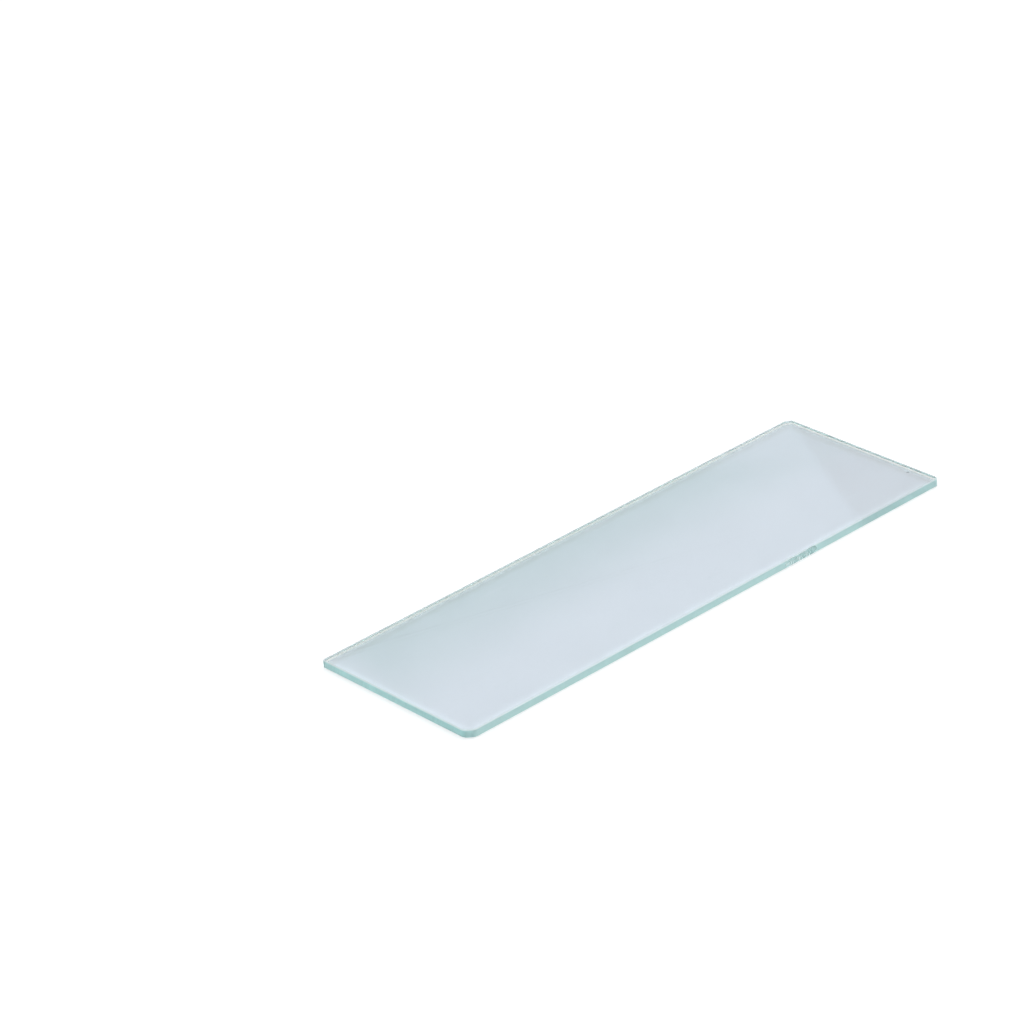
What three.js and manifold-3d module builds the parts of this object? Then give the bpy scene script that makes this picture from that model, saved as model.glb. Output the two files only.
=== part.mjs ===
// Microscope slide: one plate of clear soda-lime glass, cut to size, its corners clipped and its edges ground.
// Millimetres, +Z up. X runs along the slide and Y across it. The origin is the centre of the underside, and the
// front edge is the long one at -Y.

import * as THREE from "three";
import { mergeVertices } from "three/addons/utils/BufferGeometryUtils.js";
import Module from "manifold-3d";

const wasm = await Module();
wasm.setup();

// Driving dimensions of the plate
const length = 76.2; // 3 inches
const width = 25.4; // 1 inch
const thickness = 1.1;
const seam = 0.13; // the arris that the wheel takes off every edge, top and bottom, measured along each face

// Each corner is clipped by hand, so no two are alike: how far the clip runs along the slide, and across it
const clips = {
  frontLeft: { along: 0.93, across: 0.87 },
  frontRight: { along: 0.42, across: 0.36 },
  backRight: { along: 0.9, across: 0.6 },
  backLeft: { along: 0.3, across: 0.42 },
};
const clipEasing = 0.12; // the grinding eases each end of a clip into the edge beside it, over this distance

// A run of shell-shaped chips out of the front edge, from one blow on its top arris. Each one is a shallow dome driven
// into the glass: its place from the slide's right end, its radius and depth, how far its axis leans down from
// upright, and how far it is turned, so that its right side goes in deeper.
const chips = [
  { fromRightEnd: 22.4, radius: 1.2, depth: 0.36, lean: 82, turn: 6 },
  { fromRightEnd: 23.75, radius: 1.1, depth: 0.2, lean: 83, turn: 3 },
  { fromRightEnd: 25.15, radius: 1.3, depth: 0.16, lean: 84, turn: 0 },
];
const ribSpacing = 0.28; // the arrest ribs that circle the point of impact
const ribHeight = 0.011;
const proudOfGlass = 0.5; // how far a chip's cutter stands out of the glass before the cut

const clipSteps = 4; // straight steps in each eased end of a clip
const ringSteps = 40; // flats round a chip
const stepsPerRib = 5; // flats from one rib to the next

// The plate seen from above, anticlockwise from the front left corner. A corner is left by one straight clip whose
// two ends are eased.
function outline() {
  const right = length / 2;
  const back = width / 2;
  const { frontLeft, frontRight, backRight, backLeft } = clips;
  const turns = [
    new THREE.Vector2(-right, -back + frontLeft.across),
    new THREE.Vector2(-right + frontLeft.along, -back),
    new THREE.Vector2(right - frontRight.along, -back),
    new THREE.Vector2(right, -back + frontRight.across),
    new THREE.Vector2(right, back - backRight.across),
    new THREE.Vector2(right - backRight.along, back),
    new THREE.Vector2(-right + backLeft.along, back),
    new THREE.Vector2(-right, back - backLeft.across),
  ];
  const shape = new THREE.Shape();
  turns.forEach((turn, index) => {
    const before = turns.at(index - 1);
    const after = turns[(index + 1) % turns.length];
    const into = easedPoint(turn, before);
    const outOf = easedPoint(turn, after);
    if (index === 0) {
      shape.moveTo(into.x, into.y);
    } else {
      shape.lineTo(into.x, into.y);
    }
    shape.quadraticCurveTo(turn.x, turn.y, outOf.x, outOf.y);
  });
  shape.closePath();
  return shape;
}

// The point where the easing of a turn meets the straight run towards its neighbour. It never passes the middle of
// a short clip.
function easedPoint(turn, neighbour) {
  const run = turn.distanceTo(neighbour);
  const reach = Math.min(clipEasing, 0.4 * run);
  return turn.clone().lerp(neighbour, reach / run);
}

// The ground blank: the outline drawn up to the full thickness, with the seam as a 45-degree chamfer all round both
// faces.
function blank() {
  const plate = new THREE.ExtrudeGeometry(outline(), {
    depth: thickness - 2 * seam,
    curveSegments: clipSteps,
    bevelEnabled: true,
    bevelSegments: 1,
    bevelThickness: seam,
    bevelSize: seam,
    bevelOffset: -seam,
  });
  return plate.translate(0, 0, seam);
}

// What a blow on the arris takes off: a dome whose floor carries ribs that circle the point of impact and fade
// towards it. The dome is spun from its profile, laid over to its lean, turned and set on the arris.
function chipCutter({ fromRightEnd, radius, depth, lean, turn }) {
  const ribs = Math.max(2, Math.round(radius / ribSpacing));
  const steps = ribs * stepsPerRib;
  const profile = [];
  for (let step = 0; step <= steps; step += 1) {
    const share = step / steps;
    const dome = -depth * (1 - share * share);
    const fade = 4 * share * (1 - share);
    const rib = ribHeight * fade * Math.cos(2 * Math.PI * ribs * share);
    profile.push(new THREE.Vector2(radius * share, dome + rib));
  }
  profile.push(new THREE.Vector2(radius, proudOfGlass));
  profile.push(new THREE.Vector2(0, proudOfGlass));
  const cutter = new THREE.LatheGeometry(profile, ringSteps);
  cutter.rotateX(Math.PI / 2 + THREE.MathUtils.degToRad(lean));
  cutter.rotateZ(THREE.MathUtils.degToRad(turn));
  return cutter.translate(length / 2 - fromRightEnd, -width / 2, thickness);
}

function solid(geometry) {
  const bare = geometry.clone();
  bare.deleteAttribute("normal");
  bare.deleteAttribute("uv");
  const merged = mergeVertices(bare, 1e-5);
  return new wasm.Manifold(
    new wasm.Mesh({
      numProp: 3,
      vertProperties: new Float32Array(merged.attributes.position.array),
      triVerts: new Uint32Array(merged.index.array),
    }),
  );
}

function surface(body) {
  const mesh = body.getMesh();
  const geometry = new THREE.BufferGeometry();
  geometry.setAttribute("position", new THREE.BufferAttribute(mesh.vertProperties, 3));
  geometry.setIndex(new THREE.BufferAttribute(mesh.triVerts, 1));
  geometry.computeVertexNormals();
  return geometry;
}

const chipped = chips.reduce(
  (plate, chip) => plate.subtract(solid(chipCutter(chip))),
  solid(blank()),
);

const clearGlass = new THREE.MeshStandardMaterial({
  color: 0xd2dee6,
  roughness: 0.06,
  metalness: 0,
  transparent: true,
  opacity: 0.35,
});

const slide = new THREE.Mesh(surface(chipped), clearGlass);
slide.name = "glass_slide";

const model = new THREE.Group();
model.add(slide);

export default model;
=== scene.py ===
import math

import bpy
from mathutils import Matrix, Vector


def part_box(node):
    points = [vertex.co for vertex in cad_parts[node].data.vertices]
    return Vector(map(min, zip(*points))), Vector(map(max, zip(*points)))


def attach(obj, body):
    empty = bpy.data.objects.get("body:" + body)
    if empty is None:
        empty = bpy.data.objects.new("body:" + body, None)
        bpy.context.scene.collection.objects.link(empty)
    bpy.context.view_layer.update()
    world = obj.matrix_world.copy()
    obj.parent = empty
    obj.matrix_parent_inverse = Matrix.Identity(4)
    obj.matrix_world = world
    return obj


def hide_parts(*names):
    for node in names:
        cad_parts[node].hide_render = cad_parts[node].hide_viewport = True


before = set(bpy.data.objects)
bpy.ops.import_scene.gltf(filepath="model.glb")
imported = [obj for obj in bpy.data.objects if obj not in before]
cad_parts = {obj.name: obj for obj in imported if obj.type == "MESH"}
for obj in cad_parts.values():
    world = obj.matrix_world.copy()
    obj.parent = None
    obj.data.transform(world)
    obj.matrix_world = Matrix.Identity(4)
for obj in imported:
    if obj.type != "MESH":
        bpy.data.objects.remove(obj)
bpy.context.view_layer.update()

bpy.ops.object.select_all(action="DESELECT")


# ------------------------------------------------------------------ the glass plate
# A slide is cut from a sheet of clear float glass. The cutter clips its four corners by hand, and a stone
# takes a narrow seam off every arris. It is modelled in millimetres, and brought to metres once the chips
# are in.
to_metres = 0.001
low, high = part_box("glass_slide")
length, width, thickness = (high - low) / to_metres
middle = (low + high) / 2 / to_metres
half_length = length / 2
half_width = width / 2
top = middle.z + thickness / 2
underside = middle.z - thickness / 2

bpy.ops.mesh.primitive_cube_add(size=1, location=middle, scale=(length, width, thickness))
slide = bpy.context.object
slide.name = "slide_glass"
bpy.ops.object.transform_apply(location=True, rotation=False, scale=True)


def select_edges(piece, wanted):
    """Leaves edit mode with only the edges selected whose two ends meet the rule."""
    bpy.ops.object.mode_set(mode="EDIT")
    bpy.ops.mesh.select_mode(type="EDGE")
    bpy.ops.mesh.select_all(action="DESELECT")
    bpy.ops.object.mode_set(mode="OBJECT")
    points = piece.data.vertices
    for edge in piece.data.edges:
        edge.select = wanted(*(points[corner].co for corner in edge.vertices))
    bpy.ops.object.mode_set(mode="EDIT")


# Each corner's place, how far its clip runs along the slide and across it, and how far the stone eases it in
easing_steps = 6
corner_clips = (
    ((-1, -1), 0.93, 0.87, 0.42),
    ((1, -1), 0.42, 0.36, 0.10),
    ((1, 1), 0.90, 0.60, 0.12),
    ((-1, 1), 0.14, 0.20, 0.05),
)
for (end, side), along, across, easing in corner_clips:
    start_of_clip = Vector((end * (half_length - along), side * half_width, 0))
    outward = Vector((end * across, side * along, 0)).normalized()
    bpy.ops.object.mode_set(mode="EDIT")
    bpy.ops.mesh.select_all(action="SELECT")
    bpy.ops.mesh.bisect(
        plane_co=start_of_clip, plane_no=outward, use_fill=True, clear_outer=True, threshold=1e-5
    )
    corner = Vector((end * half_length, side * half_width))
    reach = 1.1 * max(along, across)  # far enough to take in both upright edges of the clip
    select_edges(slide, lambda a, b: abs(a.z - b.z) > thickness / 2 and (a.xy - corner).length < reach)
    bpy.ops.mesh.bevel(offset=easing, segments=easing_steps, affect="EDGES")
    bpy.ops.object.mode_set(mode="OBJECT")

# The seam runs all round both faces. The stone met the under arris at a flatter angle, so the seam reaches
# in further there
flush = 1e-4  # an edge whose ends are this near a face's height lies in that face
top_seam = 0.13
under_seam_up = 0.12
under_seam_in = 0.28
for face_height, seam in ((top, top_seam), (underside, under_seam_up)):
    select_edges(slide, lambda a, b: max(abs(a.z - face_height), abs(b.z - face_height)) < flush)
    bpy.ops.mesh.bevel(offset=seam, segments=1, affect="EDGES")
    bpy.ops.object.mode_set(mode="OBJECT")
select_edges(slide, lambda a, b: max(abs(a.z - underside), abs(b.z - underside)) < flush)
shrink_by = 2 * (under_seam_in - under_seam_up)
shrunk = (1 - shrink_by / length, 1 - shrink_by / width, 1)
bpy.ops.transform.resize(value=shrunk, center_override=middle)
bpy.ops.object.mode_set(mode="OBJECT")

# Each finish goes to the faces that it covers, told apart by how far they look up or down
level_from = 0.99
upright_to = 0.1
polished = bpy.data.materials.new("polished face")
edge_glass = bpy.data.materials.new("smoothed edge")
arris_glass = bpy.data.materials.new("seamed arris")
under_arris_glass = bpy.data.materials.new("clear under arris")
for finish in (polished, edge_glass, arris_glass, under_arris_glass):
    slide.data.materials.append(finish)
for face in slide.data.polygons:
    lift = face.normal.z
    if abs(lift) > level_from:
        face.material_index = 0
    elif abs(lift) < upright_to:
        face.material_index = 1
    else:
        face.material_index = 2 if lift > 0 else 3


# ------------------------------------------------------------------ the chips in the front edge
# A knock on the top arris of the front edge has driven out a run of shells of glass. Each scar is a shallow
# hollow under the arris, longer than it is tall, with ribs all round where the crack slowed and ran on.
def select_faces(piece, wanted):
    """Leaves edit mode with only the faces selected that meet the rule."""
    bpy.ops.object.mode_set(mode="EDIT")
    bpy.ops.mesh.select_mode(type="FACE")
    bpy.ops.mesh.select_all(action="DESELECT")
    bpy.ops.object.mode_set(mode="OBJECT")
    for face in piece.data.polygons:
        face.select = wanted(face)
    bpy.ops.object.mode_set(mode="EDIT")


def chip_cutter(place, radius, height, depth, lean, turn, seed):
    """A ragged oval on the edge, drawn outwards to a rod and inwards, ring by ring, to the scar's shape."""
    proud = 0.5
    corners = 24
    cuts_between = 2
    rib_spacing = 0.28
    rib_height = 0.005
    rings_per_rib = 8
    ragged = 0.06 * radius
    ribs = max(2, round(radius / rib_spacing))
    rings = ribs * rings_per_rib
    bpy.ops.mesh.primitive_circle_add(vertices=corners, radius=radius, fill_type="NGON")
    cutter = bpy.context.object
    bpy.ops.object.mode_set(mode="EDIT")
    bpy.ops.mesh.select_all(action="SELECT")
    bpy.ops.transform.vertex_random(offset=ragged, seed=seed)
    bpy.ops.transform.resize(value=(1, height / radius, 0), center_override=(0, 0, 0))
    bpy.ops.mesh.subdivide(number_cuts=cuts_between)
    bpy.ops.mesh.extrude_region_move(TRANSFORM_OT_translate={"value": (0, 0, proud)})
    select_faces(cutter, lambda face: abs(face.center.z) < 1e-5)

    def floor_at(share):
        dome = depth * (1 - share * share)
        return dome - rib_height * 4 * share * (1 - share) * math.cos(2 * math.pi * ribs * share)

    for ring in range(rings, 1, -1):
        drop = floor_at((ring - 1) / rings) - floor_at(ring / rings)
        shrink = (ring - 1) / ring
        bpy.ops.mesh.extrude_region_move(TRANSFORM_OT_translate={"value": (0, 0, -drop)})
        bpy.ops.transform.resize(value=(shrink, shrink, 1), center_override=(0, 0, 0))
    bpy.ops.mesh.select_all(action="SELECT")
    bpy.ops.mesh.normals_make_consistent(inside=False)
    bpy.ops.object.mode_set(mode="OBJECT")
    cutter.rotation_euler = (math.radians(lean), 0, math.radians(turn))
    cutter.location = place
    bpy.ops.object.transform_apply(location=True, rotation=True)
    return cutter


def carve(piece, cutter):
    """Takes the cutter out of the piece. The cut faces keep the cutter's material."""
    cut = piece.modifiers.new("cut", "BOOLEAN")
    cut.operation = "DIFFERENCE"
    cut.solver = "EXACT"
    cut.material_mode = "TRANSFER"
    cut.object = cutter
    bpy.context.view_layer.objects.active = piece
    bpy.ops.object.modifier_apply(modifier=cut.name)
    bpy.data.objects.remove(cutter)


# Each chip's place from the right end and under the arris, half its length, half its height and its depth,
# how far its axis leans down and turns from square to the edge, and the seed of its ragged rim
chips = (
    (22.40, 0.46, 1.20, 0.54, 0.14, 90, 3, 4),
    (23.75, 0.52, 1.10, 0.46, 0.10, 90, 1, 9),
    (25.15, 0.53, 1.30, 0.46, 0.09, 90, 0, 2),
)
broken_glass = []
for from_right_end, drop, radius, height, depth, lean, turn, seed in chips:
    blow = Vector((half_length - from_right_end, -half_width, top))
    cutter = chip_cutter(blow - Vector((0, 0, drop)), radius, height, depth, lean, turn, seed)
    fresh = bpy.data.materials.new(f"fresh break {len(broken_glass) + 1}")
    cutter.data.materials.append(fresh)
    broken_glass.append((fresh, blow, radius, depth))
    carve(slide, cutter)

bpy.ops.object.mode_set(mode="EDIT")
bpy.ops.mesh.select_all(action="SELECT")
bpy.ops.mesh.remove_doubles(threshold=1e-4)
bpy.ops.mesh.normals_make_consistent(inside=False)
bpy.ops.object.mode_set(mode="OBJECT")

# The plate comes down to metres. Smoothing stops short of the under seam's slope, so both faces stay flat
smooth_below = math.radians(15)
slide.scale = (to_metres, to_metres, to_metres)
slide.select_set(True)
bpy.context.view_layer.objects.active = slide
bpy.ops.object.transform_apply(scale=True)
bpy.ops.object.shade_smooth_by_angle(angle=smooth_below)

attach(slide, "root")
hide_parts("glass_slide")


# ------------------------------------------------------------------ the clear body of the glass
# Float glass takes a little more red than green out of light that crosses it, through the iron in its sand.
# The plate looks clear through its faces, and sea green through its edges, where light has come a long way.
absorbed_per_metre = (5.5, 1.8, 2.2)
index_of_glass = 1.52


def node(tree, kind, sockets=None, **settings):
    """Adds a node with its settings. A socket, by name or number, takes a value or another node's output."""
    made = tree.nodes.new(kind)
    for name, value in settings.items():
        setattr(made, name, value)
    for name, value in (sockets or {}).items():
        if isinstance(value, bpy.types.NodeSocket):
            tree.links.new(value, made.inputs[name])
        else:
            made.inputs[name].default_value = value
    return made


def maths(tree, operation, *values):
    return node(tree, "ShaderNodeMath", dict(enumerate(values)), operation=operation).outputs[0]


def ramp(tree, value, start, end, low=0.0, high=1.0):
    """Eases from low to high as the value goes from start to end."""
    return node(
        tree,
        "ShaderNodeMapRange",
        {"Value": value, "From Min": start, "From Max": end, "To Min": low, "To Max": high},
        interpolation_type="SMOOTHSTEP",
    ).outputs["Result"]


def mix_colours(tree, share, first, second):
    first, second = (c if isinstance(c, bpy.types.NodeSocket) else (*c, 1) for c in (first, second))
    return node(tree, "ShaderNodeMix", {0: share, 6: first, 7: second}, data_type="RGBA").outputs[2]


def mix_values(tree, share, first, second):
    return node(tree, "ShaderNodeMix", {0: share, 2: first, 3: second}).outputs[0]


def clear_body(material, transmission):
    """Starts a glass material: its volume, its skin, and the side of the skin that a ray meets."""
    material.use_nodes = True
    tree = material.node_tree
    tree.nodes.clear()
    out = node(tree, "ShaderNodeOutputMaterial")
    clear = {"IOR": index_of_glass, "Transmission Weight": transmission}
    skin = node(tree, "ShaderNodeBsdfPrincipled", clear)
    tree.links.new(skin.outputs["BSDF"], out.inputs["Surface"])
    strongest = max(absorbed_per_metre)
    left_over = [1 - taken / strongest for taken in absorbed_per_metre]
    inside = node(tree, "ShaderNodeVolumeAbsorption", {"Density": strongest, "Color": (*left_over, 1)})
    tree.links.new(inside.outputs["Volume"], out.inputs["Volume"])
    from_inside = node(tree, "ShaderNodeNewGeometry").outputs["Backfacing"]
    return tree, skin, from_inside


def place_in_mm(tree):
    """Object coordinates in millimetres."""
    where = node(tree, "ShaderNodeTexCoord").outputs["Object"]
    grow = 1 / to_metres
    return node(tree, "ShaderNodeMapping", {"Vector": where, "Scale": (grow, grow, grow)}).outputs["Vector"]


def new_group(name, inputs, outputs):
    """Starts a node group. Inputs are names with values, and outputs are names of values between 0 and 1."""
    group = bpy.data.node_groups.new(name, "ShaderNodeTree")
    group.interface.new_socket("Place", in_out="INPUT", socket_type="NodeSocketVector")
    for label, value in inputs.items():
        socket = group.interface.new_socket(label, in_out="INPUT", socket_type="NodeSocketFloat")
        socket.default_value = value
    for label in outputs:
        group.interface.new_socket(label, in_out="OUTPUT", socket_type="NodeSocketFloat")
    return group, node(group, "NodeGroupInput").outputs, node(group, "NodeGroupOutput").inputs


def use_group(tree, group, place, **values):
    used = node(tree, "ShaderNodeGroup", node_tree=group)
    tree.links.new(place, used.inputs["Place"])
    for label, value in values.items():
        used.inputs[label.replace("_", " ").capitalize()].default_value = value
    return used.outputs


# Slow drift in tone, and the finer clouding over it
finer_by = 9.0
thin, thick = 0.3, 0.7  # nearly all of a noise lies between these
drift, given, result = new_group("tone drift", {"Patch size": 12.0}, ["Drift", "Clouding"])
patches = maths(drift, "DIVIDE", 1.0, given["Patch size"])
broad = node(drift, "ShaderNodeTexNoise", {"Vector": given["Place"], "Scale": patches, "Detail": 2.0})
drift.links.new(ramp(drift, broad.outputs["Fac"], thin, thick), result["Drift"])
finer = maths(drift, "MULTIPLY", patches, finer_by)
fine = node(drift, "ShaderNodeTexNoise", {"Vector": given["Place"], "Scale": finer, "Detail": 4.0})
drift.links.new(ramp(drift, fine.outputs["Fac"], thin, thick), result["Clouding"])

# Specks of dust and glass meal, a few to the square centimetre, each of its own size, most of them tiny
rareness = 6.0
speck_blur = 0.01
dust, given, result = new_group("fine dust", {"Spacing": 1.6, "Largest": 0.06}, ["Specks"])
per_mm = maths(dust, "DIVIDE", 1.0, given["Spacing"])
cells = node(dust, "ShaderNodeTexVoronoi", {"Vector": given["Place"], "Scale": per_mm})
away = maths(dust, "MULTIPLY", cells.outputs["Distance"], given["Spacing"])
lottery = node(dust, "ShaderNodeSeparateColor", {"Color": cells.outputs["Color"]}).outputs["Red"]
size = maths(dust, "MULTIPLY", maths(dust, "POWER", lottery, rareness), given["Largest"])
specks = ramp(dust, maths(dust, "SUBTRACT", size, away), -speck_blur, speck_blur)
dust.links.new(specks, result["Specks"])


# ------------------------------------------------------------------ the polished faces
# Both faces keep the fire polish of the float bath. The top is wiped clean, with a little dust, a few
# hairlines and two flecks that never came off. The underside is tinted blue-grey with painted shade.
top_tint = (0.930, 0.935, 0.940)
# Painted light on the top, with the paleness of its hairline scratches
top_light_and_scratch_tint = (0.990, 1.0, 1.0)
dust_tint = (0.48, 0.50, 0.51)
# Painted shade: the underside's blue-grey tint, and a greyer one where it drifts
under_shade_tint = (0.587, 0.664, 0.742)
greyer_under_shade_tint = (0.570, 0.646, 0.724)
# Painted light: the underside's paler tint beside the near rims
under_near_light_tint = (0.655, 0.748, 0.845)
# Painted shade: the underside's darker strip inside the far rims
shade_strip_tint = (0.530, 0.598, 0.655)
fleck_tint = (0.20, 0.22, 0.22)
near_light_inner, near_light_full = 1.6, 0.6  # where each strip starts and is full, from the rim that it follows
far_light_inner, far_light_full = 1.1, 0.7
shade_strip_inner, shade_strip_full = 1.9, 1.2
shade_strip_outer, shade_strip_past = 0.4, 0.7
hairline_pitch = 2.6
hairline_from, hairline_full = 0.79, 0.83
hairline_share = 0.15
flecks = (((36.72, -8.86), 0.27, 0.68), ((3.40, -8.43), 0.16, 0.15))  # where, how wide, how dark

tree, skin, from_inside = clear_body(polished, 1.0)
place = place_in_mm(tree)
apart = node(tree, "ShaderNodeSeparateXYZ", {"Vector": place}).outputs
tone = use_group(tree, drift, place, patch_size=9.0)
wander = maths(tree, "MULTIPLY", tone["Clouding"], 0.3)

# Beside the front and the left end both faces are painted paler: painted light
to_end = maths(tree, "ADD", apart["X"], half_length)
to_front = maths(tree, "ADD", apart["Y"], half_width)
to_near_rim = maths(tree, "ADD", maths(tree, "MINIMUM", to_end, to_front), wander)
near_rim_light = ramp(tree, to_near_rim, near_light_inner, near_light_full)

# The top's few long hairlines in two directions, its dust, its flecks, and painted light along the far rims
hairlines = 0.0
for turn, long_by in ((0.5, 0.10), (-0.9, 0.14)):
    drawn = node(
        tree,
        "ShaderNodeMapping",
        {"Vector": place, "Rotation": (0, 0, turn), "Scale": (long_by, hairline_pitch, 1)},
    )
    strand = node(
        tree,
        "ShaderNodeTexNoise",
        {"Vector": drawn.outputs["Vector"], "Scale": 1.0, "Detail": 0.0, "Distortion": 0.4},
    )
    strands = ramp(tree, strand.outputs["Fac"], hairline_from, hairline_full)
    hairlines = maths(tree, "MAXIMUM", hairlines, strands)
marks = use_group(tree, dust, place, spacing=2.6, largest=0.08)["Specks"]
to_far_end = maths(tree, "SUBTRACT", half_length, apart["X"])
to_back = maths(tree, "SUBTRACT", half_width, apart["Y"])
to_far_rim = maths(tree, "ADD", maths(tree, "MINIMUM", to_far_end, to_back), wander)
# Painted light by the near rims, with the paleness of hairline scratches
painted_light_and_scratches = maths(tree, "MAXIMUM", near_rim_light, maths(tree, "MULTIPLY", hairlines, hairline_share))
# Painted light: a paler strip inside the far rims
painted_light_and_scratches = maths(tree, "MAXIMUM", painted_light_and_scratches, ramp(tree, to_far_rim, far_light_inner, far_light_full))
over = mix_colours(tree, painted_light_and_scratches, top_tint, top_light_and_scratch_tint)
over = mix_colours(tree, marks, over, dust_tint)
for (along, across), size, dark in flecks:
    away = node(tree, "ShaderNodeVectorMath", {0: place, 1: (along, across, top)}, operation="DISTANCE")
    spot = ramp(tree, away.outputs["Value"], size, 0.5 * size, 0.0, dark)
    over = mix_colours(tree, spot, over, fleck_tint)

# The underside's painted blue-grey shade drifts in tone, turns to painted light by the near rims, and
# deepens in a strip of painted shade inside the far ones
under = mix_colours(tree, tone["Drift"], under_shade_tint, greyer_under_shade_tint)
under = mix_colours(tree, near_rim_light, under, under_near_light_tint)
inner_side = ramp(tree, to_far_rim, shade_strip_inner, shade_strip_full)
outer_side = ramp(tree, to_far_rim, shade_strip_outer, shade_strip_past)
shade_strip = maths(tree, "MULTIPLY", inner_side, outer_side)
under = mix_colours(tree, shade_strip, under, shade_strip_tint)
upward = ramp(tree, apart["Z"], 0.4 * thickness, 0.6 * thickness)
tree.links.new(mix_colours(tree, upward, under, over), skin.inputs["Base Color"])

# A trace of film is left where a cloth was drawn over the plate, and dust and hairlines take the shine off
film_at_most = 0.04
dull_at_most = 0.35
smear = {"Vector": place, "Scale": (0.1, 0.5, 1), "Rotation": (0, 0, 0.4)}
smears = node(tree, "ShaderNodeMapping", smear).outputs["Vector"]
wiped = node(tree, "ShaderNodeTexNoise", {"Vector": smears, "Scale": 1.0, "Detail": 5.0})
film = ramp(tree, wiped.outputs["Fac"], 0.45, 0.8, 0.0, film_at_most)
scored = maths(tree, "MAXIMUM", marks, maths(tree, "MULTIPLY", hairlines, 0.3))
scored = maths(tree, "MULTIPLY", scored, dull_at_most)
tree.links.new(maths(tree, "MAXIMUM", film, scored), skin.inputs["Roughness"])
cut_in = {"Height": hairlines, "Strength": 0.05, "Distance": 0.00001}
groove = node(tree, "ShaderNodeBump", cut_in, invert=True)
tree.links.new(groove.outputs["Normal"], skin.inputs["Normal"])


# ------------------------------------------------------------------ the smoothed edges
# Where the sheet was scored and snapped, the edge is smoothed on a fine stone: sea green and half matt, with
# faint upright marks across its thickness, small pits, and a greener foot. Seen from inside, the same skin
# is a mirror.
edge_tint = (0.485, 0.744, 0.742)
edge_deep_tint = (0.447, 0.700, 0.694)
foot_tint = (0.456, 0.730, 0.700)
end_painted_light_tint = (0.620, 0.985, 0.980)
clip_painted_light_tint = (0.700, 1.0, 1.0)
pit_tint = (0.300, 0.520, 0.500)
inner_tint = (0.985, 1.0, 1.0)
far_inner_shade_tint = (0.900, 0.960, 1.0)

# Fine marks that cross an edge. They run with the distance along it, whichever side of the plate it is on
stone, given, result = new_group("stone marks", {"Pitch": 0.2, "Slant": 0.25}, ["Marks", "Depth"])
apart = node(stone, "ShaderNodeSeparateXYZ", {"Vector": given["Place"]}).outputs
run = maths(stone, "ADD", apart["X"], apart["Y"])
leaning = node(stone, "ShaderNodeMath", {0: apart["Z"], 1: given["Slant"], 2: run}, operation="MULTIPLY_ADD")
stepped = maths(stone, "DIVIDE", leaning.outputs[0], given["Pitch"])
across = node(stone, "ShaderNodeCombineXYZ", {"X": stepped, "Z": maths(stone, "MULTIPLY", apart["Z"], 0.8)})
lines = node(stone, "ShaderNodeTexNoise", {"Vector": across.outputs[0], "Scale": 1.0, "Detail": 3.0})
stone.links.new(ramp(stone, lines.outputs["Fac"], 0.32, 0.68), result["Marks"])
stone.links.new(lines.outputs["Fac"], result["Depth"])

# Right of a set point on the front edge, the edge and its arris are painted darker: a painted reflection
painted_step_from = 24.7
painted_step, given, result = new_group("painted reflection step", {"Stopped at": painted_step_from}, ["Missed"])
apart = node(painted_step, "ShaderNodeSeparateXYZ", {"Vector": given["Place"]}).outputs
front = ramp(painted_step, apart["Y"], -half_width + 1.0, -half_width + 0.5)
beyond = ramp(painted_step, maths(painted_step, "SUBTRACT", apart["X"], given["Stopped at"]), -0.1, 0.1)
painted_step.links.new(maths(painted_step, "MULTIPLY", front, beyond), result["Missed"])

tree, skin, from_inside = clear_body(edge_glass, 0.75)
place = place_in_mm(tree)
apart = node(tree, "ShaderNodeSeparateXYZ", {"Vector": place}).outputs
tone = use_group(tree, drift, place, patch_size=6.0)
marks = use_group(tree, stone, place, pitch=0.22, slant=0.3)
pits = use_group(tree, dust, place, spacing=1.1, largest=0.09)["Specks"]

# Painted light: the two ends lighter than the long edges, the front left clip paler. The foot is greener
at_end = ramp(tree, maths(tree, "ABSOLUTE", apart["X"]), half_length - 0.6, half_length - 0.1)
outside = mix_colours(tree, tone["Clouding"], edge_tint, edge_deep_tint)
outside = mix_colours(tree, at_end, outside, end_painted_light_tint)
foot = ramp(tree, maths(tree, "MULTIPLY_ADD", marks["Depth"], 0.25, apart["Z"]), 0.55, 0.15, 0.0, 0.8)
outside = mix_colours(tree, foot, outside, foot_tint)
at_front = ramp(tree, maths(tree, "ABSOLUTE", apart["Y"]), half_width - 0.95, half_width - 0.35)
# Painted light on the front left clip
at_clip = maths(tree, "MULTIPLY", at_front, ramp(tree, apart["X"], -half_length + 1.0, -half_length + 0.4))
outside = mix_colours(tree, at_clip, outside, clip_painted_light_tint)
outside = mix_colours(tree, maths(tree, "MULTIPLY", marks["Marks"], 0.35), outside, edge_deep_tint)
# Painted reflection: the edge darker right of the step
beyond_step = use_group(tree, painted_step, place, stopped_at=painted_step_from)["Missed"]
step_shade_colour = node(tree, "ShaderNodeHueSaturation", {"Color": outside, "Value": 0.93})
outside = mix_colours(tree, beyond_step, outside, step_shade_colour.outputs["Color"])
outside = mix_colours(tree, maths(tree, "MULTIPLY", pits, 0.8), outside, pit_tint)
# Painted shade: seen from inside, the far walls are darker
far_end = ramp(tree, apart["X"], half_length - 1.2, half_length - 0.9)
far_side = ramp(tree, apart["Y"], half_width - 1.2, half_width - 0.9)
far = maths(tree, "MAXIMUM", far_end, maths(tree, "MULTIPLY", far_side, 0.3))
inside = mix_colours(tree, far, inner_tint, far_inner_shade_tint)
tree.links.new(mix_colours(tree, from_inside, outside, inside), skin.inputs["Base Color"])

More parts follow.
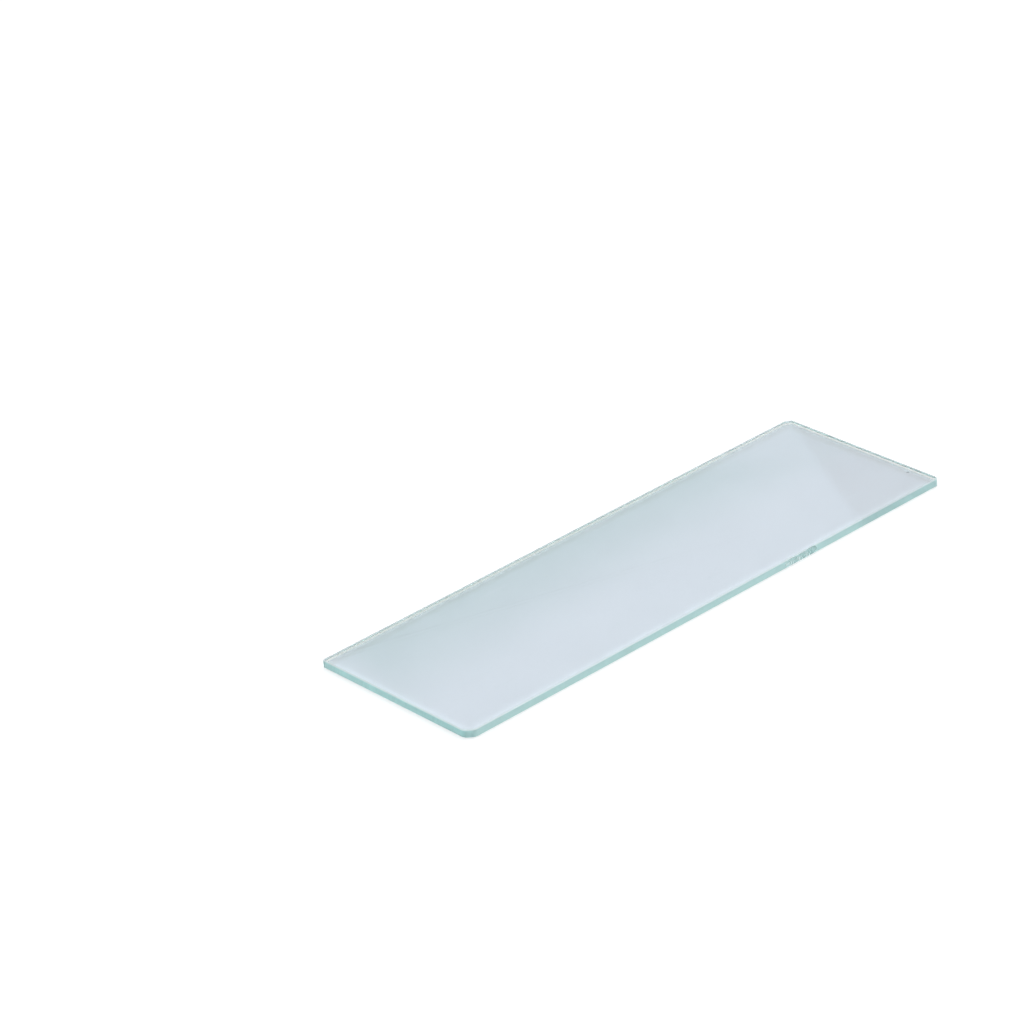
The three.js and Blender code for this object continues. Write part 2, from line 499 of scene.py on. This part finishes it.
# Outside it is half matt, and duller still on the clip. The bump is only there for rays from outside
clip_matt = 0.8
matt = ramp(tree, marks["Depth"], 0.3, 0.7, 0.32, 0.44)
matt = mix_values(tree, at_clip, matt, clip_matt)
tree.links.new(mix_values(tree, from_inside, matt, 0.05), skin.inputs["Roughness"])
worn = maths(tree, "SUBTRACT", marks["Depth"], pits)
worn = mix_values(tree, from_inside, worn, 0.0)
ribbed = node(tree, "ShaderNodeBump", {"Height": worn, "Strength": 0.25, "Distance": 0.00002})
tree.links.new(ribbed.outputs["Normal"], skin.inputs["Normal"])


# ------------------------------------------------------------------ the seamed arrises
# The stone leaves a narrow frosted flat on the top arris that shows as a pale line round the plate, with a
# nick here and there. The under arris is only touched, so it stays clear.
frosted_tint = (0.890, 0.990, 1.0)
frosted_dull_tint = (0.830, 0.945, 0.970)
nick_tint = (0.600, 0.830, 0.820)
under_tint = (0.930, 0.980, 0.985)

tree, skin, from_inside = clear_body(arris_glass, 0.35)
place = place_in_mm(tree)
marks = use_group(tree, stone, place, pitch=0.16, slant=0.0)
nicks = use_group(tree, dust, place, spacing=2.4, largest=0.16)["Specks"]
outside = mix_colours(tree, marks["Marks"], frosted_tint, frosted_dull_tint)
# Painted reflection: the arris darker right of the step
beyond_step = use_group(tree, painted_step, place, stopped_at=painted_step_from)["Missed"]
step_shade_colour = node(tree, "ShaderNodeHueSaturation", {"Color": outside, "Value": 0.88})
outside = mix_colours(tree, beyond_step, outside, step_shade_colour.outputs["Color"])
outside = mix_colours(tree, maths(tree, "MULTIPLY", nicks, 0.7), outside, nick_tint)
tree.links.new(mix_colours(tree, from_inside, outside, (1, 1, 1)), skin.inputs["Base Color"])
matt = ramp(tree, marks["Depth"], 0.3, 0.7, 0.45, 0.6)
tree.links.new(mix_values(tree, from_inside, matt, 0.2), skin.inputs["Roughness"])
worn = mix_values(tree, from_inside, marks["Depth"], 0.0)
frosted = node(tree, "ShaderNodeBump", {"Height": worn, "Strength": 0.3, "Distance": 0.00002})
tree.links.new(frosted.outputs["Normal"], skin.inputs["Normal"])

tree, skin, from_inside = clear_body(under_arris_glass, 1.0)
place = place_in_mm(tree)
marks = use_group(tree, stone, place, pitch=0.3, slant=0.0)
outside = mix_colours(tree, marks["Marks"], under_tint, (1, 1, 1))
tree.links.new(mix_colours(tree, from_inside, outside, (1, 1, 1)), skin.inputs["Base Color"])
tree.links.new(mix_values(tree, from_inside, 0.2, 0.06), skin.inputs["Roughness"])


# ------------------------------------------------------------------ the fresh breaks
# A scar is bare broken glass, clean and wet-looking. Painted shade darkens it under the arris and in
# the deep side of the deepest one, and painted light makes it paler at its foot. It has fine ripples
# round the point of the blow and thin white hackle where the crack tore.
break_tint = (0.560, 0.800, 0.790)
# Painted light at the foot, and painted shade that also takes the random clouding
break_painted_light_tint = (0.720, 0.900, 0.900)
break_shade_and_cloud_tint = (0.400, 0.660, 0.660)
hackle_tint = (0.960, 0.985, 0.985)
break_inner_tint = (0.93, 0.98, 0.98)
deepest = max(depth for *_, depth in broken_glass)
ripple_rate = 60.0

shell, given, result = new_group(
    "shell break",
    {"Centre along": 0.0, "Centre up": 0.0, "Radius": 1.0},
    ["Ripples", "Hackle", "Lit foot", "Shaded side", "Shade under arris"],
)
apart = node(shell, "ShaderNodeSeparateXYZ", {"Vector": given["Place"]}).outputs
over = maths(shell, "DIVIDE", maths(shell, "SUBTRACT", apart["X"], given["Centre along"]), given["Radius"])
down = maths(shell, "DIVIDE", maths(shell, "SUBTRACT", given["Centre up"], apart["Z"]), given["Radius"])
flat = node(shell, "ShaderNodeCombineXYZ", {"X": over, "Y": down}).outputs[0]
out_by = node(shell, "ShaderNodeVectorMath", {0: flat}, operation="LENGTH").outputs["Value"]
fan = maths(shell, "ARCTAN2", over, down)
bent = node(shell, "ShaderNodeTexNoise", {"Vector": flat, "Scale": 2.5, "Detail": 2.0}).outputs["Fac"]
unsteady = maths(shell, "MULTIPLY_ADD", bent, 0.25, out_by)
waves = maths(shell, "SINE", maths(shell, "MULTIPLY", unsteady, ripple_rate))
shell.links.new(maths(shell, "MULTIPLY_ADD", waves, 0.5, 0.5), result["Ripples"])
spread = node(shell, "ShaderNodeCombineXYZ", {
    "X": maths(shell, "MULTIPLY", fan, 6.0),
    "Y": maths(shell, "MULTIPLY", out_by, 1.5),
    "Z": given["Centre along"],
}).outputs[0]
torn = node(shell, "ShaderNodeTexNoise", {"Vector": spread, "Scale": 1.0, "Detail": 1.0}).outputs["Fac"]
reach = maths(shell, "MULTIPLY", ramp(shell, down, 0.15, 0.4), ramp(shell, over, 0.35, 0.15))
shell.links.new(maths(shell, "MULTIPLY", ramp(shell, torn, 0.54, 0.62), reach), result["Hackle"])
# Painted light at the foot, painted shade in the deep side and under the arris
lit_foot = maths(shell, "MULTIPLY", ramp(shell, down, 0.3, 0.5), ramp(shell, over, 0.3, -0.1))
shell.links.new(lit_foot, result["Lit foot"])
deep_shade = maths(shell, "MULTIPLY", ramp(shell, over, -0.4, 0.0), ramp(shell, over, 0.85, 0.35))
shell.links.new(deep_shade, result["Shaded side"])
shell.links.new(ramp(shell, down, 0.5, 0.2), result["Shade under arris"])

for fresh, blow, radius, depth in broken_glass:
    tree, skin, from_inside = clear_body(fresh, 0.65)
    place = place_in_mm(tree)
    scar = use_group(tree, shell, place, centre_along=blow.x, centre_up=blow.z, radius=radius)
    tone = use_group(tree, drift, place, patch_size=3.0)
    # Painted shade in the deep side and under the arris, painted light at the foot
    deep_shade = maths(tree, "MULTIPLY", scar["Shaded side"], (depth / deepest) ** 3)
    painted_shade = maths(tree, "MAXIMUM", deep_shade, maths(tree, "MULTIPLY", scar["Shade under arris"], 0.8))
    outside = mix_colours(tree, maths(tree, "MULTIPLY", scar["Lit foot"], 0.7), break_tint, break_painted_light_tint)
    outside = mix_colours(tree, painted_shade, outside, break_shade_and_cloud_tint)
    outside = mix_colours(tree, maths(tree, "MULTIPLY", tone["Clouding"], 0.35), outside, break_shade_and_cloud_tint)
    outside = mix_colours(tree, maths(tree, "MULTIPLY", scar["Hackle"], 0.4), outside, hackle_tint)
    tree.links.new(mix_colours(tree, from_inside, outside, break_inner_tint), skin.inputs["Base Color"])
    matt = ramp(tree, scar["Hackle"], 0.0, 1.0, 0.12, 0.5)
    tree.links.new(mix_values(tree, from_inside, matt, 0.08), skin.inputs["Roughness"])
    raised = maths(tree, "MULTIPLY_ADD", scar["Hackle"], 2.0, scar["Ripples"])
    rippled = node(tree, "ShaderNodeBump", {"Height": raised, "Strength": 0.2, "Distance": 0.00002})
    tree.links.new(rippled.outputs["Normal"], skin.inputs["Normal"])


# ------------------------------------------------------------------ the floor
# A plain white table top, just under the slide so that the two never share a plane. It shows white wherever
# it is seen, straight or through the glass, and still takes the slide's faint shadow.
table_size = 6
clearance = 0.0001
bpy.ops.mesh.primitive_plane_add(size=table_size, location=(0, 0, -clearance))
floor = bpy.context.object
floor.name = "floor"
bpy.ops.object.transform_apply(location=True)
table_white = (0.8, 0.8, 0.8)
glow_of_white = 0.3

paper = bpy.data.materials.new("white table")
paper.use_nodes = True
tree = paper.node_tree
tree.nodes.clear()
rays = node(tree, "ShaderNodeLightPath").outputs
seen = maths(tree, "MAXIMUM", rays["Is Camera Ray"], rays["Is Transmission Ray"])
seen = maths(tree, "MAXIMUM", seen, rays["Is Glossy Ray"])
glow = node(tree, "ShaderNodeEmission", {"Strength": maths(tree, "MULTIPLY", seen, glow_of_white)})
matt = node(tree, "ShaderNodeBsdfDiffuse", {"Color": (*table_white, 1)})
both = node(tree, "ShaderNodeAddShader", {0: matt.outputs[0], 1: glow.outputs[0]})
node(tree, "ShaderNodeOutputMaterial", {"Surface": both.outputs[0]})
floor.data.materials.append(paper)


# ------------------------------------------------------------------ the light
# A white studio lit all round, with a soft box overhead. A dim green-grey gap low behind the slide and the
# straight edge of a grey board at the right lie where the top face mirrors them.
white_wall = (0.794, 0.800, 0.814)
dim_gap = (0.118, 0.333, 0.177)
grey_board = (0.519, 0.466, 0.420)
gap_lean = -0.051  # how much the gap's upper line sinks towards the right

# Where the gap ends and where the wall is fully white, in degrees of rise straight behind or straight beside
gap_top = (32.947, 34.629)
gap_foot = (33.5, 31.0)
gap_right = (38.454, 36.725)
gap_left = (43.331, 44.302)
white_at_right = 0.76
board_plane = (1.741, -0.964, -1.0)  # the plane through the slide and the board's straight edge
board_blur = 0.003


def rise_from(tree, rise, degrees, high=1.0):
    start, end = (math.radians(angle) for angle in degrees)
    return ramp(tree, rise, start, end, 0.0, high)


world = bpy.data.worlds.new("studio")
bpy.context.scene.world = world
world.use_nodes = True
tree = world.node_tree
sky = tree.nodes["Background"]
toward = node(tree, "ShaderNodeTexCoord").outputs["Generated"]
apart = node(tree, "ShaderNodeSeparateXYZ", {"Vector": toward}).outputs
rise_behind = maths(tree, "ARCTAN2", apart["Z"], apart["Y"])
rise_beside = maths(tree, "ARCTAN2", apart["Z"], apart["X"])
above_gap = rise_from(tree, maths(tree, "MULTIPLY_ADD", rise_beside, gap_lean, rise_behind), gap_top)
right_of_gap = rise_from(tree, rise_beside, gap_right, white_at_right)
left_of_gap = rise_from(tree, rise_beside, gap_left)
under_gap = rise_from(tree, rise_behind, gap_foot)
lit = maths(tree, "MAXIMUM", above_gap, maths(tree, "MAXIMUM", right_of_gap, left_of_gap))
lit = maths(tree, "MAXIMUM", lit, under_gap)
past_edge = node(
    tree, "ShaderNodeVectorMath", {0: toward, 1: board_plane}, operation="DOT_PRODUCT"
).outputs["Value"]
right_of_edge = ramp(tree, past_edge, -board_blur, board_blur)
board = maths(tree, "MULTIPLY", right_of_edge, ramp(tree, apart["Y"], 0.3, 0.5))
wall = mix_colours(tree, board, white_wall, grey_board)
tree.links.new(mix_colours(tree, lit, dim_gap, wall), sky.inputs["Color"])
sky.inputs["Strength"].default_value = 1.0

lamp = bpy.data.lights.new("soft box", "AREA")
lamp.shape = "RECTANGLE"
lamp.size = 0.6
lamp.size_y = 0.6
lamp.energy = 2.0
soft_box = bpy.data.objects.new("soft box", lamp)
bpy.context.collection.objects.link(soft_box)
soft_box.location = (0.0, -0.2, 0.9)
soft_box.rotation_euler = Vector(soft_box.location).to_track_quat("Z", "Y").to_euler()


# ------------------------------------------------------------------ the camera
# A long lens, set up low on the slide's left front and tipped a few degrees, so that the slide runs up from
# the left to the right of the frame.
azimuth = math.radians(-39.326)
elevation = math.radians(27.898)
roll = math.radians(-5.912)
distance = 0.49989
aim = Vector((-0.000306, 0.021935, high.z))
back = Vector((
    math.sin(azimuth) * math.cos(elevation),
    -math.cos(azimuth) * math.cos(elevation),
    math.sin(elevation),
))
lens = bpy.data.cameras.new("camera")
lens.lens = 145.06
lens.sensor_width = 36
lens.clip_start = 0.01
camera = bpy.data.objects.new("camera", lens)
bpy.context.collection.objects.link(camera)
camera.matrix_world = (
    Matrix.Translation(aim + back * distance)
    @ back.to_track_quat("Z", "Y").to_matrix().to_4x4()
    @ Matrix.Rotation(roll, 4, "Z")
)

# Light crosses the plate many times before it leaves, so it is followed far, and never blurred on the way
scene = bpy.context.scene
scene.camera = camera
scene.view_settings.view_transform = "Standard"
scene.cycles.max_bounces = 64
scene.cycles.glossy_bounces = 64
scene.cycles.transmission_bounces = 64
scene.cycles.blur_glossy = 0.0
